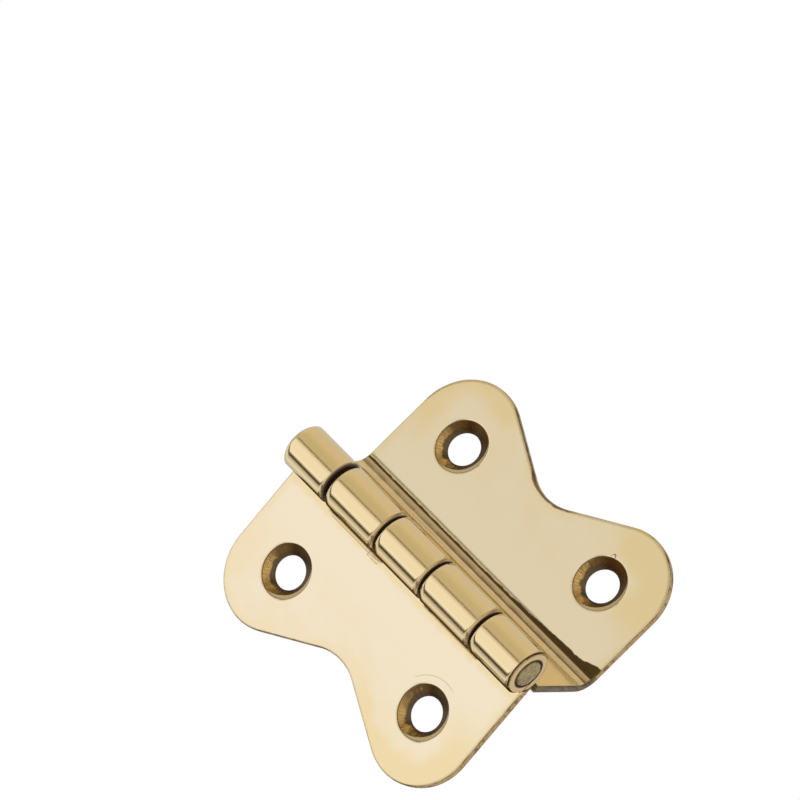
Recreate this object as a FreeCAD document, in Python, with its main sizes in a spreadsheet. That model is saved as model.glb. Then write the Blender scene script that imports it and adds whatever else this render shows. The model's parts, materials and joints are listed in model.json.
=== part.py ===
import FreeCAD, Part
import math
import os

import Sketcher

# A cranked butterfly butt hinge in polished brass: two stamped leaves and one pin.
#
# Shared frame, in millimetres. The hinge stands as it does when screwed to an upright, with its pin
# vertical along Z and the countersunk faces looking along -Y. The cranked leaf reaches to +X and lies
# in the XZ plane. The origin is on the back of the cranked leaf, midway between its two screw holes.
# Both leaves are drawn with the pin axis as their own Z axis and are then placed on the pin.

doc = FreeCAD.newDocument("cranked_butterfly_hinge")
sheet = doc.addObject("Spreadsheet::Sheet", "Sizes")

driving_sizes = [
    ("hinge_length", 38.0),
    ("sheet_thickness", 1.0),
    ("pin_diameter", 3.3),
    ("pin_clearance", 0.04),
    ("pin_proud", 0.1),
    ("pin_end_round", 0.3),
    ("curl_slit", 0.2),
    ("flat_leaf_reach", 18.5),
    ("cranked_leaf_reach", 19.3),
    ("crank_offset", 9.5),
    ("web_angle", 65.0),
    ("bend_radius", 2.0),
    ("lobe_radius", 6.4),
    ("waist_radius", 6.0),
    ("flank_angle", 27.0),
    ("cranked_knuckle_length", 8.0),
    ("middle_knuckle_length", 7.3),
    ("first_gap", 0.5),
    ("knuckle_gap", 0.3),
    ("notch_reach", 3.0),
    ("screw_spacing", 23.3),
    ("screw_edge_distance", 7.4),
    ("screw_hole_diameter", 3.8),
    ("countersink_diameter", 6.15),
    ("countersink_depth", 0.8),
    ("edge_round", 0.25),
    ("edge_bevel", 0.25),
    ("opening_angle", 11.0),
    ("trim_margin", 2.0),
]

derived_sizes = [
    ("bore_radius", "=pin_diameter / 2 + pin_clearance"),
    ("barrel_radius", "=bore_radius + sheet_thickness"),
    ("cranked_front", "=bore_radius + crank_offset"),
    ("cranked_back", "=cranked_front + sheet_thickness"),
    ("flat_screw_line", "=flat_leaf_reach - screw_edge_distance"),
    ("cranked_screw_line", "=cranked_leaf_reach - screw_edge_distance"),
    ("flat_lobe_centre", "=flat_leaf_reach - lobe_radius"),
    ("cranked_lobe_centre", "=cranked_leaf_reach - lobe_radius"),
    ("flank_across", "=cos(flank_angle * 1deg)"),
    ("flank_along", "=sin(flank_angle * 1deg)"),
    ("waist_depth",
     "=lobe_radius - (lobe_radius + waist_radius * (1 - flank_across)"
     " - (hinge_length / 2 - lobe_radius) * flank_along) / flank_across"),
    ("flat_waist_centre", "=flat_leaf_reach - waist_depth + waist_radius"),
    ("cranked_waist_centre", "=cranked_leaf_reach - waist_depth + waist_radius"),
    ("countersink_angle",
     "=2 * atan((countersink_diameter - screw_hole_diameter) / (2 * countersink_depth)) / 1deg"),
    ("top_end", "=hinge_length / 2"),
    ("bottom_end", "=-top_end"),
    ("end_knuckle_length",
     "=(hinge_length - middle_knuckle_length - 2 * cranked_knuckle_length - first_gap"
     " - 3 * knuckle_gap) / 2"),
    ("first_top", "=top_end - end_knuckle_length"),
    ("second_top", "=first_top - first_gap"),
    ("second_bottom", "=second_top - cranked_knuckle_length"),
    ("third_top", "=second_bottom - knuckle_gap"),
    ("third_bottom", "=third_top - middle_knuckle_length"),
    ("fourth_top", "=third_bottom - knuckle_gap"),
    ("fourth_bottom", "=fourth_top - cranked_knuckle_length"),
    ("fifth_top", "=fourth_bottom - knuckle_gap"),
]

for row, (name, value) in enumerate(driving_sizes + derived_sizes, start=1):
    sheet.set("A%d" % row, name)
    sheet.set("B%d" % row, str(value))
    sheet.setAlias("B%d" % row, name)
doc.recompute()


def size(name):
    return float(getattr(sheet, name))


def vec(x, y, z=0.0):
    return FreeCAD.Vector(x, y, z)


def origin_plane(body, role):
    return next(feature for feature in body.Origin.OriginFeatures if feature.Role == role)


def new_sketch(body, name, role):
    sketch = body.newObject("Sketcher::SketchObject", name)
    sketch.AttachmentSupport = [(origin_plane(body, role), "")]
    sketch.MapMode = "FlatFace"
    return sketch


def dimension(sketch, name, expression, kind, *where):
    """Add a driving dimension to a sketch and tie it to the sheet."""
    index = sketch.addConstraint(Sketcher.Constraint(kind, *where))
    sketch.renameConstraint(index, name)
    sketch.setExpression("Constraints." + name, expression)


def polar(radius, degrees):
    angle = math.radians(degrees)
    return vec(radius * math.cos(angle), radius * math.sin(angle))


def heading_of(point):
    return math.degrees(math.atan2(point.y, point.x))


def arc(centre, radius, start, end):
    """Counter-clockwise arc between two angles in degrees."""
    circle = Part.Circle(centre, vec(0, 0, 1), radius)
    return Part.ArcOfCircle(circle, math.radians(start), math.radians(end))


START, END, CENTRE = range(1, 4)
X_AXIS, Y_AXIS = range(-1, -3, -1)
ORIGIN = (X_AXIS, START)
TOUCHING = 1e-6

# The countersunk face of the sheet has rounded rims. Its other face, which is also the outside of the
# rolls, has bevelled ones.
ROUND = ("Radius", "Sizes.edge_round")
BEVEL = ("Size", "Sizes.edge_bevel")


# Section of the flat leaf's sheet, which runs in behind the pin as far as the roll's crown.
def flat_profile(body):
    bore = size("bore_radius")
    barrel = size("barrel_radius")
    reach = size("flat_leaf_reach")
    corners = [vec(-reach, barrel), vec(0, barrel), vec(0, bore), vec(-reach, bore)]
    sketch = new_sketch(body, "FlatProfile", "XY_Plane")
    sketch.addGeometry([Part.LineSegment(corners[i], corners[(i + 1) % 4]) for i in range(4)], False)
    back, root, front, tip = range(4)
    sketch.addConstraint([
        Sketcher.Constraint("Coincident", back, END, root, START),
        Sketcher.Constraint("Coincident", root, END, front, START),
        Sketcher.Constraint("Coincident", front, END, tip, START),
        Sketcher.Constraint("Coincident", tip, END, back, START),
        Sketcher.Constraint("Horizontal", back),
        Sketcher.Constraint("Horizontal", front),
        Sketcher.Constraint("Vertical", root),
        Sketcher.Constraint("Vertical", tip),
        Sketcher.Constraint("PointOnObject", root, START, Y_AXIS),
    ])
    dimension(sketch, "back", "Sizes.barrel_radius", "DistanceY", *ORIGIN, root, START, barrel)
    dimension(sketch, "front", "Sizes.bore_radius", "DistanceY", *ORIGIN, root, END, bore)
    dimension(sketch, "reach", "Sizes.flat_leaf_reach", "DistanceX", tip, START, *ORIGIN, reach)
    return sketch


# Folded section of the cranked leaf's sheet. A steep web comes from the deep leaf through a rounded
# bend and passes behind the pin as far as the roll's crown.
def cranked_profile(body):
    bore = size("bore_radius")
    barrel = size("barrel_radius")
    reach = size("cranked_leaf_reach")
    front_y = size("cranked_front")
    back_y = size("cranked_back")
    inside = size("bend_radius")
    outside = inside + size("sheet_thickness")
    web = size("web_angle")
    along = polar(1, web)
    away = polar(1, web + 90)
    depth = front_y - inside
    bend = away * (bore - inside) + along * ((depth - (bore - inside) * away.y) / along.y)
    sketch = new_sketch(body, "CrankedProfile", "XY_Plane")
    sketch.addGeometry([
        Part.LineSegment(away * bore, away * barrel),
        Part.LineSegment(away * barrel, bend + away * outside),
        arc(bend, outside, 90, web + 90),
        Part.LineSegment(vec(bend.x, back_y), vec(reach, back_y)),
        Part.LineSegment(vec(reach, back_y), vec(reach, front_y)),
        Part.LineSegment(vec(reach, front_y), vec(bend.x, front_y)),
        arc(bend, inside, 90, web + 90),
        Part.LineSegment(bend + away * inside, away * bore),
    ], False)
    root, web_back, bend_back, back, tip, front, bend_front, web_front = range(8)
    sketch.addConstraint([
        Sketcher.Constraint("PointOnObject", *ORIGIN, root),
        Sketcher.Constraint("Perpendicular", root, web_back),
        Sketcher.Constraint("Coincident", root, END, web_back, START),
        Sketcher.Constraint("Coincident", web_front, END, root, START),
        Sketcher.Constraint("Coincident", bend_back, CENTRE, bend_front, CENTRE),
        Sketcher.Constraint("Tangent", web_back, END, bend_back, END),
        Sketcher.Constraint("Tangent", bend_back, START, back, START),
        Sketcher.Constraint("Coincident", back, END, tip, START),
        Sketcher.Constraint("Coincident", tip, END, front, START),
        Sketcher.Constraint("Tangent", front, END, bend_front, START),
        Sketcher.Constraint("Tangent", bend_front, END, web_front, START),
        Sketcher.Constraint("Parallel", web_front, web_back),
        Sketcher.Constraint("Horizontal", back),
        Sketcher.Constraint("Horizontal", front),
        Sketcher.Constraint("Vertical", tip),
    ])
    dimension(sketch, "bore", "Sizes.bore_radius", "Distance", *ORIGIN, root, START, bore)
    dimension(sketch, "barrel", "Sizes.barrel_radius", "Distance", *ORIGIN, root, END, barrel)
    dimension(sketch, "bend", "Sizes.bend_radius", "Radius", bend_front, inside)
    dimension(sketch, "web", "Sizes.web_angle * 1deg", "Angle", web_back, math.radians(web))
    dimension(sketch, "back", "Sizes.cranked_back", "DistanceY", *ORIGIN, back, START, back_y)
    dimension(sketch, "reach", "Sizes.cranked_leaf_reach", "DistanceX", *ORIGIN, tip, START, reach)
    return sketch


# Half sections of one leaf's knuckles, each a rod with bevelled ends about the pin axis.
def knuckle_profile(body, name, spans):
    barrel = size("barrel_radius")
    bevel = size("edge_bevel")
    sketch = new_sketch(body, name, "XZ_Plane")
    for number, (low_end, high_end) in enumerate(spans, start=1):
        low = size(low_end)
        high = size(high_end)
        corners = [
            vec(0, low),
            vec(barrel - bevel, low),
            vec(barrel, low + bevel),
            vec(barrel, high - bevel),
            vec(barrel - bevel, high),
            vec(0, high),
        ]
        lines = range(sketch.GeometryCount, sketch.GeometryCount + len(corners))
        below, low_bevel, outer, high_bevel, above, middle = lines
        sketch.addGeometry([Part.LineSegment(corners[i], corners[(i + 1) % 6]) for i in range(6)], False)
        sketch.addConstraint([
            Sketcher.Constraint("Coincident", below, END, low_bevel, START),
            Sketcher.Constraint("Coincident", low_bevel, END, outer, START),
            Sketcher.Constraint("Coincident", outer, END, high_bevel, START),
            Sketcher.Constraint("Coincident", high_bevel, END, above, START),
            Sketcher.Constraint("Coincident", above, END, middle, START),
            Sketcher.Constraint("Coincident", middle, END, below, START),
            Sketcher.Constraint("Horizontal", below),
            Sketcher.Constraint("Vertical", outer),
            Sketcher.Constraint("Horizontal", above),
            Sketcher.Constraint("PointOnObject", middle, START, Y_AXIS),
            Sketcher.Constraint("PointOnObject", middle, END, Y_AXIS),
            Sketcher.Constraint("Equal", low_bevel, high_bevel),
            Sketcher.Constraint("Perpendicular", low_bevel, high_bevel),
        ])
        mark = str(number)
        dimension(sketch, "across" + mark, "Sizes.edge_bevel", "DistanceX", low_bevel, START,
                  low_bevel, END, bevel)
        dimension(sketch, "along" + mark, "Sizes.edge_bevel", "DistanceY", low_bevel, START,
                  low_bevel, END, bevel)
        dimension(sketch, "outer" + mark, "Sizes.barrel_radius", "DistanceX", *ORIGIN, outer, START,
                  barrel)
        dimension(sketch, "low" + mark, "Sizes." + low_end, "DistanceY", *ORIGIN, middle, END, low)
        dimension(sketch, "high" + mark, "Sizes." + high_end, "DistanceY", *ORIGIN, middle, START, high)
    return sketch


def revolve_knuckles(body, name, spans):
    roll = body.newObject("PartDesign::Revolution", name)
    roll.Profile = knuckle_profile(body, name + "Profile", spans)
    roll.ReferenceAxis = (roll.Profile[0], ["V_Axis"])
    roll.Angle = 360
    return roll


# The bore and the slit in one keyhole: a rolled sheet's end stops a slit short of its own front face.
# It is drawn with the sheet leaving towards +X on the +Y side of the pin, and turned to the real one.
def keyhole(body, name, turn, heading):
    bore = size("bore_radius")
    lip = bore - size("curl_slit")
    beyond = size("barrel_radius") + size("trim_margin")
    mouth = vec(math.sqrt(bore ** 2 - lip ** 2), lip)
    sketch = new_sketch(body, name, "XY_Plane")
    sketch.AttachmentOffset = FreeCAD.Placement(vec(0, 0), FreeCAD.Rotation(turn, 1))
    sketch.setExpression("AttachmentOffset.Rotation.Angle", heading)
    sketch.addGeometry([
        arc(vec(0, 0), bore, 90, heading_of(mouth) + 360),
        Part.LineSegment(mouth, vec(beyond, lip)),
        Part.LineSegment(vec(beyond, lip), vec(beyond, bore)),
        Part.LineSegment(vec(beyond, bore), vec(0, bore)),
    ], False)
    hole, lip_line, end_line, face_line = range(4)
    sketch.addConstraint([
        Sketcher.Constraint("Coincident", hole, CENTRE, *ORIGIN),
        Sketcher.Constraint("Tangent", hole, START, face_line, END),
        Sketcher.Constraint("Coincident", hole, END, lip_line, START),
        Sketcher.Constraint("Coincident", lip_line, END, end_line, START),
        Sketcher.Constraint("Coincident", end_line, END, face_line, START),
        Sketcher.Constraint("Horizontal", lip_line),
        Sketcher.Constraint("Vertical", end_line),
        Sketcher.Constraint("Horizontal", face_line),
    ])
    dimension(sketch, "bore", "Sizes.bore_radius", "Radius", hole, bore)
    dimension(sketch, "slit", "Sizes.curl_slit", "DistanceY", end_line, START, end_line, END, bore - lip)
    dimension(sketch, "beyond", "Sizes.barrel_radius + Sizes.trim_margin", "DistanceX", *ORIGIN,
              end_line, START, beyond)
    return sketch


# The waste outside one leaf's butterfly outline, drawn with the leaf reaching to +X: two round lobes,
# straight flanks that slope in from them, and a round waist at mid-length, as deep as the flanks' slope
# takes it. turned swings it over to -X.
def outline_waste(body, name, prefix, turned):
    lobe = size("lobe_radius")
    waist = size("waist_radius")
    half = size("top_end")
    margin = size("trim_margin")
    beyond = size(prefix + "_leaf_reach") + margin
    lobe_centre = vec(size(prefix + "_lobe_centre"), half - lobe)
    waist_centre = vec(size(prefix + "_waist_centre"), 0)
    flank = -size("flank_angle")
    on_lobe = lobe_centre + polar(lobe, flank)
    on_waist = waist_centre - polar(waist, flank)
    inner_x = lobe_centre.x
    sketch = new_sketch(body, name, "XZ_Plane")
    half_turn = 180 if turned else 0
    sketch.AttachmentOffset = FreeCAD.Placement(vec(0, 0), FreeCAD.Rotation(vec(0, 1), half_turn))
    sketch.addGeometry([
        arc(lobe_centre, lobe, flank, 90),
        Part.LineSegment(on_lobe, on_waist),
        arc(waist_centre, waist, 180 + flank, 180 - flank),
        Part.LineSegment(vec(on_waist.x, -on_waist.y), vec(on_lobe.x, -on_lobe.y)),
        arc(vec(inner_x, -lobe_centre.y), lobe, -90, -flank),
        Part.LineSegment(vec(inner_x, -half), vec(inner_x, -half - margin)),
        Part.LineSegment(vec(inner_x, -half - margin), vec(beyond, -half - margin)),
        Part.LineSegment(vec(beyond, -half - margin), vec(beyond, half + margin)),
        Part.LineSegment(vec(beyond, half + margin), vec(inner_x, half + margin)),
        Part.LineSegment(vec(inner_x, half + margin), vec(inner_x, half)),
    ], False)
    upper, upper_flank, middle, lower_flank, lower, down, bottom, side, top, up = range(10)
    sketch.addConstraint([
        Sketcher.Constraint("Tangent", upper, START, upper_flank, START),
        Sketcher.Constraint("Tangent", upper_flank, END, middle, START),
        Sketcher.Constraint("Tangent", middle, END, lower_flank, START),
        Sketcher.Constraint("Tangent", lower_flank, END, lower, END),
        Sketcher.Constraint("Coincident", lower, START, down, START),
        Sketcher.Constraint("Coincident", down, END, bottom, START),
        Sketcher.Constraint("Coincident", bottom, END, side, START),
        Sketcher.Constraint("Coincident", side, END, top, START),
        Sketcher.Constraint("Coincident", top, END, up, START),
        Sketcher.Constraint("Coincident", up, END, upper, END),
        Sketcher.Constraint("Vertical", upper, CENTRE, upper, END),
        Sketcher.Constraint("Vertical", lower, CENTRE, lower, START),
        Sketcher.Constraint("Vertical", down),
        Sketcher.Constraint("Horizontal", bottom),
        Sketcher.Constraint("Vertical", side),
        Sketcher.Constraint("Horizontal", top),
        Sketcher.Constraint("Vertical", up),
        Sketcher.Constraint("Symmetric", upper, CENTRE, lower, CENTRE, X_AXIS),
        Sketcher.Constraint("PointOnObject", middle, CENTRE, X_AXIS),
        Sketcher.Constraint("Equal", upper, lower),
        Sketcher.Constraint("Equal", up, down),
    ])
    dimension(sketch, "lobe", "Sizes.lobe_radius", "Radius", upper, lobe)
    dimension(sketch, "waist", "Sizes.waist_radius", "Radius", middle, waist)
    dimension(sketch, "lobe_x", "Sizes.%s_lobe_centre" % prefix, "DistanceX", *ORIGIN, upper, CENTRE,
              inner_x)
    dimension(sketch, "end_z", "Sizes.top_end", "DistanceY", *ORIGIN, upper, END, half)
    dimension(sketch, "waist_x", "Sizes.%s_waist_centre" % prefix, "DistanceX", *ORIGIN, middle, CENTRE,
              waist_centre.x)
    dimension(sketch, "beyond", "Sizes.%s_leaf_reach + Sizes.trim_margin" % prefix, "DistanceX", *ORIGIN,
              side, START, beyond)
    dimension(sketch, "margin", "Sizes.trim_margin", "DistanceY", up, END, up, START, margin)
    return sketch


# A square window across the sheet's end, from beyond the pin to the notch's floor in the leaf. It is
# drawn with the leaf's sheet leaving towards +X, and heading turns it to where the sheet really goes.
def notch_window(body, name, heading, top):
    reach = size("notch_reach")
    half = size("barrel_radius") + size("trim_margin")
    sketch = new_sketch(body, name, "XY_Plane")
    sketch.AttachmentOffset = FreeCAD.Placement(vec(0, 0, 1), FreeCAD.Rotation(vec(0, 0, 1), 1))
    sketch.setExpression("AttachmentOffset.Base.z", top)
    sketch.setExpression("AttachmentOffset.Rotation.Angle", heading)
    corners = [vec(reach, half), vec(-half, half), vec(-half, -half), vec(reach, -half)]
    sketch.addGeometry([Part.LineSegment(corners[i], corners[(i + 1) % 4]) for i in range(4)], False)
    front, far, back, floor = range(4)
    sketch.addConstraint([
        Sketcher.Constraint("Coincident", front, END, far, START),
        Sketcher.Constraint("Coincident", far, END, back, START),
        Sketcher.Constraint("Coincident", back, END, floor, START),
        Sketcher.Constraint("Coincident", floor, END, front, START),
        Sketcher.Constraint("Horizontal", front),
        Sketcher.Constraint("Horizontal", back),
        Sketcher.Constraint("Vertical", floor),
        Sketcher.Constraint("Symmetric", front, END, far, END, X_AXIS),
    ])
    dimension(sketch, "reach", "Sizes.notch_reach", "DistanceX", *ORIGIN, floor, START, reach)
    dimension(sketch, "far", "Sizes.barrel_radius + Sizes.trim_margin", "DistanceX", far, START,
              *ORIGIN, half)
    dimension(sketch, "width", "2 * (Sizes.barrel_radius + Sizes.trim_margin)", "DistanceY", far, END,
              far, START, 2 * half)
    return sketch


def cut_notch(body, name, heading, top, length):
    pocket = body.newObject("PartDesign::Pocket", name)
    pocket.Profile = notch_window(body, name + "Window", heading, top)
    pocket.Type = "Length"
    pocket.setExpression("Length", length)
    return pocket


# Two countersunk screw holes, sunk from the leaf's front face.
def drill_screw_holes(body, name, side, line, face):
    diameter = size("screw_hole_diameter")
    along = size(line)
    apart = size("screw_spacing") / 2
    sketch = new_sketch(body, name + "Centres", "XZ_Plane")
    sketch.setExpression("AttachmentOffset.Base.z", "-Sizes." + face)
    centres = [vec(side * along, apart), vec(side * along, -apart)]
    sketch.addGeometry([Part.Circle(centre, vec(0, 0, 1), diameter / 2) for centre in centres], False)
    sketch.addConstraint([
        Sketcher.Constraint("Symmetric", 0, CENTRE, 1, CENTRE, X_AXIS),
        Sketcher.Constraint("Equal", 0, 1),
    ])
    dimension(sketch, "hole", "Sizes.screw_hole_diameter", "Diameter", 0, diameter)
    ends = (*ORIGIN, 0, CENTRE) if side > 0 else (0, CENTRE, *ORIGIN)
    dimension(sketch, "line", "Sizes." + line, "DistanceX", *ends, along)
    dimension(sketch, "spacing", "Sizes.screw_spacing", "DistanceY", 1, CENTRE, 0, CENTRE, 2 * apart)
    doc.recompute()
    holes = body.newObject("PartDesign::Hole", name)
    holes.Profile = sketch
    holes.Threaded = False
    holes.DepthType = "ThroughAll"
    holes.HoleCutType = "Countersink"
    holes.HoleCutCustomValues = True
    holes.setExpression("Diameter", "Sizes.screw_hole_diameter")
    holes.setExpression("HoleCutDiameter", "Sizes.countersink_diameter")
    holes.setExpression("HoleCutCountersinkAngle", "Sizes.countersink_angle")
    return holes


def pad_profile(body, name, sketch):
    pad = body.newObject("PartDesign::Pad", name)
    pad.Profile = sketch
    pad.SideType = "Symmetric"
    pad.setExpression("Length", "Sizes.hinge_length")
    return pad


def cut_through(body, name, sketch):
    pocket = body.newObject("PartDesign::Pocket", name)
    pocket.Profile = sketch
    pocket.SideType = "Symmetric"
    pocket.Type = "ThroughAll"
    return pocket


def edge_points(edge):
    first, last = edge.ParameterRange
    return [edge.valueAt(first), edge.valueAt((first + last) / 2), edge.valueAt(last)]


def is_sheet_rim(edge, normal, depth):
    """An edge of one face of the sheet: its outline or a notch, but no line where it bends or ends."""
    first, middle, last = edge_points(edge)
    if any(abs(point.dot(normal) - depth) > TOUCHING for point in (first, middle, last)):
        return False
    crosswise = math.hypot(last.x - first.x, last.y - first.y) > TOUCHING
    from_pin = abs(middle.dot(normal.cross(vec(0, 0, 1))))
    return crosswise or abs(from_pin - size("notch_reach")) < TOUCHING


def soften_rims(body, kind, name, extent, faces):
    """Fillet or chamfer the rims of the sheet's faces, each face given by its normal and depth."""
    doc.recompute()
    base = body.Tip
    chosen = ["Edge%d" % number for number, edge in enumerate(base.Shape.Edges, start=1)
              if any(is_sheet_rim(edge, normal, size(depth)) for normal, depth in faces)]
    softened = body.newObject("PartDesign::" + kind, name)
    softened.Base = (base, chosen)
    softened.setExpression(*extent)
    return softened


def place_on_pin(body):
    body.setExpression("Placement.Base.x", "-Sizes.cranked_screw_line")
    body.setExpression("Placement.Base.y", "-Sizes.cranked_back")


# Flat leaf: one sheet with the first, third and fifth knuckles, opened past the plane of its fellow.
flat_leaf = doc.addObject("PartDesign::Body", "flat_leaf")
pad_profile(flat_leaf, "FlatSheet", flat_profile(flat_leaf))
cut_through(flat_leaf, "FlatTrim", outline_waste(flat_leaf, "FlatOutline", "flat", True))
cut_notch(flat_leaf, "FlatNotchTwo", "180deg", "Sizes.first_top", "Sizes.first_top - Sizes.third_top")
cut_notch(flat_leaf, "FlatNotchFour", "180deg", "Sizes.third_bottom",
          "Sizes.third_bottom - Sizes.fifth_top")
soften_rims(flat_leaf, "Fillet", "FlatRounds", ROUND, [(vec(0, 1), "bore_radius")])
soften_rims(flat_leaf, "Chamfer", "FlatBevels", BEVEL, [(vec(0, 1), "barrel_radius")])
revolve_knuckles(flat_leaf, "FlatKnuckles", [
    ("first_top", "top_end"),
    ("third_bottom", "third_top"),
    ("bottom_end", "fifth_top"),
])
cut_through(flat_leaf, "FlatBore", keyhole(flat_leaf, "FlatKeyhole", vec(0, 1), "180deg"))
drill_screw_holes(flat_leaf, "FlatHoles", -1, "flat_screw_line", "bore_radius")
flat_leaf.Placement = FreeCAD.Placement(vec(0, 0), FreeCAD.Rotation(vec(0, 0, -1), size("opening_angle")))
flat_leaf.setExpression("Placement.Rotation.Angle", "Sizes.opening_angle * 1deg")
place_on_pin(flat_leaf)

# Cranked leaf: one sheet with the second and fourth knuckles.
cranked_leaf = doc.addObject("PartDesign::Body", "cranked_leaf")
pad_profile(cranked_leaf, "CrankedSheet", cranked_profile(cranked_leaf))
cut_through(cranked_leaf, "CrankedTrim", outline_waste(cranked_leaf, "CrankedOutline", "cranked", False))
cut_notch(cranked_leaf, "CrankedNotchOne", "Sizes.web_angle * 1deg", "Sizes.top_end + Sizes.trim_margin",
          "Sizes.top_end + Sizes.trim_margin - Sizes.second_top")
cut_notch(cranked_leaf, "CrankedNotchThree", "Sizes.web_angle * 1deg", "Sizes.second_bottom",
          "Sizes.second_bottom - Sizes.fourth_top")
cut_notch(cranked_leaf, "CrankedNotchFive", "Sizes.web_angle * 1deg", "Sizes.fourth_bottom",
          "Sizes.fourth_bottom + Sizes.top_end + Sizes.trim_margin")
web_normal = polar(1, size("web_angle") + 90)
soften_rims(cranked_leaf, "Fillet", "CrankedRounds", ROUND,
            [(vec(0, 1), "cranked_front"), (web_normal, "bore_radius")])
soften_rims(cranked_leaf, "Chamfer", "CrankedBevels", BEVEL,
            [(vec(0, 1), "cranked_back"), (web_normal, "barrel_radius")])
revolve_knuckles(cranked_leaf, "CrankedKnuckles", [
    ("second_bottom", "second_top"),
    ("fourth_bottom", "fourth_top"),
])
cut_through(cranked_leaf, "CrankedBore",
            keyhole(cranked_leaf, "CrankedKeyhole", vec(0, 0, 1), "Sizes.web_angle * 1deg"))
drill_screw_holes(cranked_leaf, "CrankedHoles", 1, "cranked_screw_line", "cranked_front")
place_on_pin(cranked_leaf)

# Pin: plain rod with rounded ends that stand a hair proud of the outer knuckles.
hinge_pin = doc.addObject("PartDesign::Body", "hinge_pin")
pin_section = new_sketch(hinge_pin, "PinSection", "XY_Plane")
pin_section.addGeometry(Part.Circle(vec(0, 0), vec(0, 0, 1), size("pin_diameter") / 2), False)
pin_section.addConstraint(Sketcher.Constraint("Coincident", 0, CENTRE, *ORIGIN))
dimension(pin_section, "pin", "Sizes.pin_diameter", "Diameter", 0, size("pin_diameter"))
pin_rod = hinge_pin.newObject("PartDesign::Pad", "PinRod")
pin_rod.Profile = pin_section
pin_rod.SideType = "Symmetric"
pin_rod.setExpression("Length", "Sizes.hinge_length + 2 * Sizes.pin_proud")
doc.recompute()
pin_ends = hinge_pin.newObject("PartDesign::Fillet", "PinEnds")
pin_ends.Base = (pin_rod, ["Edge%d" % number for number, edge in enumerate(pin_rod.Shape.Edges, start=1)
                           if edge.Curve.TypeId == "Part::GeomCircle"])
pin_ends.setExpression("Radius", "Sizes.pin_end_round")
place_on_pin(hinge_pin)

doc.recompute()
bodies = [cranked_leaf, flat_leaf, hinge_pin]
for item in doc.Objects:
    if "Invalid" in item.State or "Error" in item.State:
        raise RuntimeError("%s did not compute" % item.Name)
for body in bodies:
    if body.Shape.isNull() or not body.Shape.isValid() or len(body.Shape.Solids) != 1:
        raise RuntimeError("%s is not one valid solid" % body.Label)

os.makedirs("parts", exist_ok=True)
for body in bodies:
    body.Shape.exportStep(os.path.join("parts", body.Label + ".step"))
    print(body.Label, round(body.Shape.Volume, 2), body.Shape.BoundBox)
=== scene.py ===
# %% [markdown]
# # A cranked butterfly hinge in polished brass
# The real object is a small cabinet hinge of three pieces: a leaf cranked forward, a flat leaf and a
# round pin. All three are metal parts that the CAD has already cut and rolled to size, so Blender adds
# no shape of its own. What is left to do here is what the eye reads as brass: the polish, the marks of
# the tools, and a studio for the metal to reflect.

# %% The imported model
import json
import math

import bpy
from mathutils import Matrix, Vector


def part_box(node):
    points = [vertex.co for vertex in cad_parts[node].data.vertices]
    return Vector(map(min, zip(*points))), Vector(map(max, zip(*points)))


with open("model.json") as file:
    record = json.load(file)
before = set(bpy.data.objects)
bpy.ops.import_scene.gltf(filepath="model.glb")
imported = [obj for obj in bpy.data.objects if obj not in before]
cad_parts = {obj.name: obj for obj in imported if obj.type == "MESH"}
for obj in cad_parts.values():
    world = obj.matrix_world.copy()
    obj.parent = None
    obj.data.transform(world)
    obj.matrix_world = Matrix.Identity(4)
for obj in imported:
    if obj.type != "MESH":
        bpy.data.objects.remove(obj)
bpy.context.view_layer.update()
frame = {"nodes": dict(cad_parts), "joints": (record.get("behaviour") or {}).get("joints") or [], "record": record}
MM = 0.001
print("pieces", sorted(frame["nodes"]))

# %% [markdown]
# ## Places on the hinge
# Tool marks, painted shade and painted reflection lie round the screw holes, at the knuckle ends and in
# the inside corner of the crank, so their places are needed. The record gives the pin's axis and the screw
# holes as they were designed, and the knuckles are read off the imported metal. Nothing is typed a second
# time. All are in millimetres.

# %% Pin and screw holes
swing = frame["joints"][0]
pin_axis = Vector(swing["pos_m"]) / MM
mounts = {mount["name"]: mount for mount in frame["record"]["mounts"]}


def screw_row(mount, spacing):
    """The middle of a leaf's row of screws, the way they point, and how far each is from the middle."""
    place = Vector(mount["pos_m"]) / MM
    return place, Vector(mount["axis"]), mount["dims"][spacing] / 2


cranked_screws = screw_row(mounts["cranked_leaf_screws"], "spacing_y_mm")
flat_screws = screw_row(mounts["flat_leaf_screws"], "pcd_mm")
hole_radius = mounts["flat_leaf_screws"]["dims"]["hole_r_mm"]
print("pin axis", pin_axis, "screws", cranked_screws[2], "mm from the middle")

# %% Barrel and knuckle gaps
SQUARE_ON = 0.9999
STEP = 0.05


def corners_facing(node, part):
    """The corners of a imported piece's faces that look along x, y or z, for which part is 0, 1 or 2."""
    mesh = frame["nodes"][node].data
    faces = [face for face in mesh.polygons if abs(face.normal[part]) > SQUARE_ON]
    return [mesh.vertices[corner].co / MM for face in faces for corner in face.vertices]


barrel_radius = pin_axis.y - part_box("cranked_leaf")[0][1] / MM
levels = set()
for node in ("cranked_leaf", "flat_leaf"):
    for corner in corners_facing(node, 2):
        if (corner - pin_axis).xy.length < barrel_radius:
            levels.add(round(round(corner.z / STEP) * STEP, 2))
levels = sorted(levels)
half_length = levels[-1]
pin_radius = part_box("hinge_pin")[1][0] / MM - pin_axis.x
lower_ends = levels[::2]
upper_ends = levels[1::2]
knuckle_gaps = list(zip(upper_ends, lower_ends[1:]))
print("barrel radius", round(barrel_radius, 3), "gaps between knuckles", knuckle_gaps)

# %% Inside corner of the crank
forward = [corner for corner in corners_facing("cranked_leaf", 1) if corner.y < -STEP]
sheet_front = max(corner.y for corner in forward)
bend_line = min(corner.x for corner in forward if corner.y > sheet_front - STEP)
print("the bend starts at", round(bend_line, 3))

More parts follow.
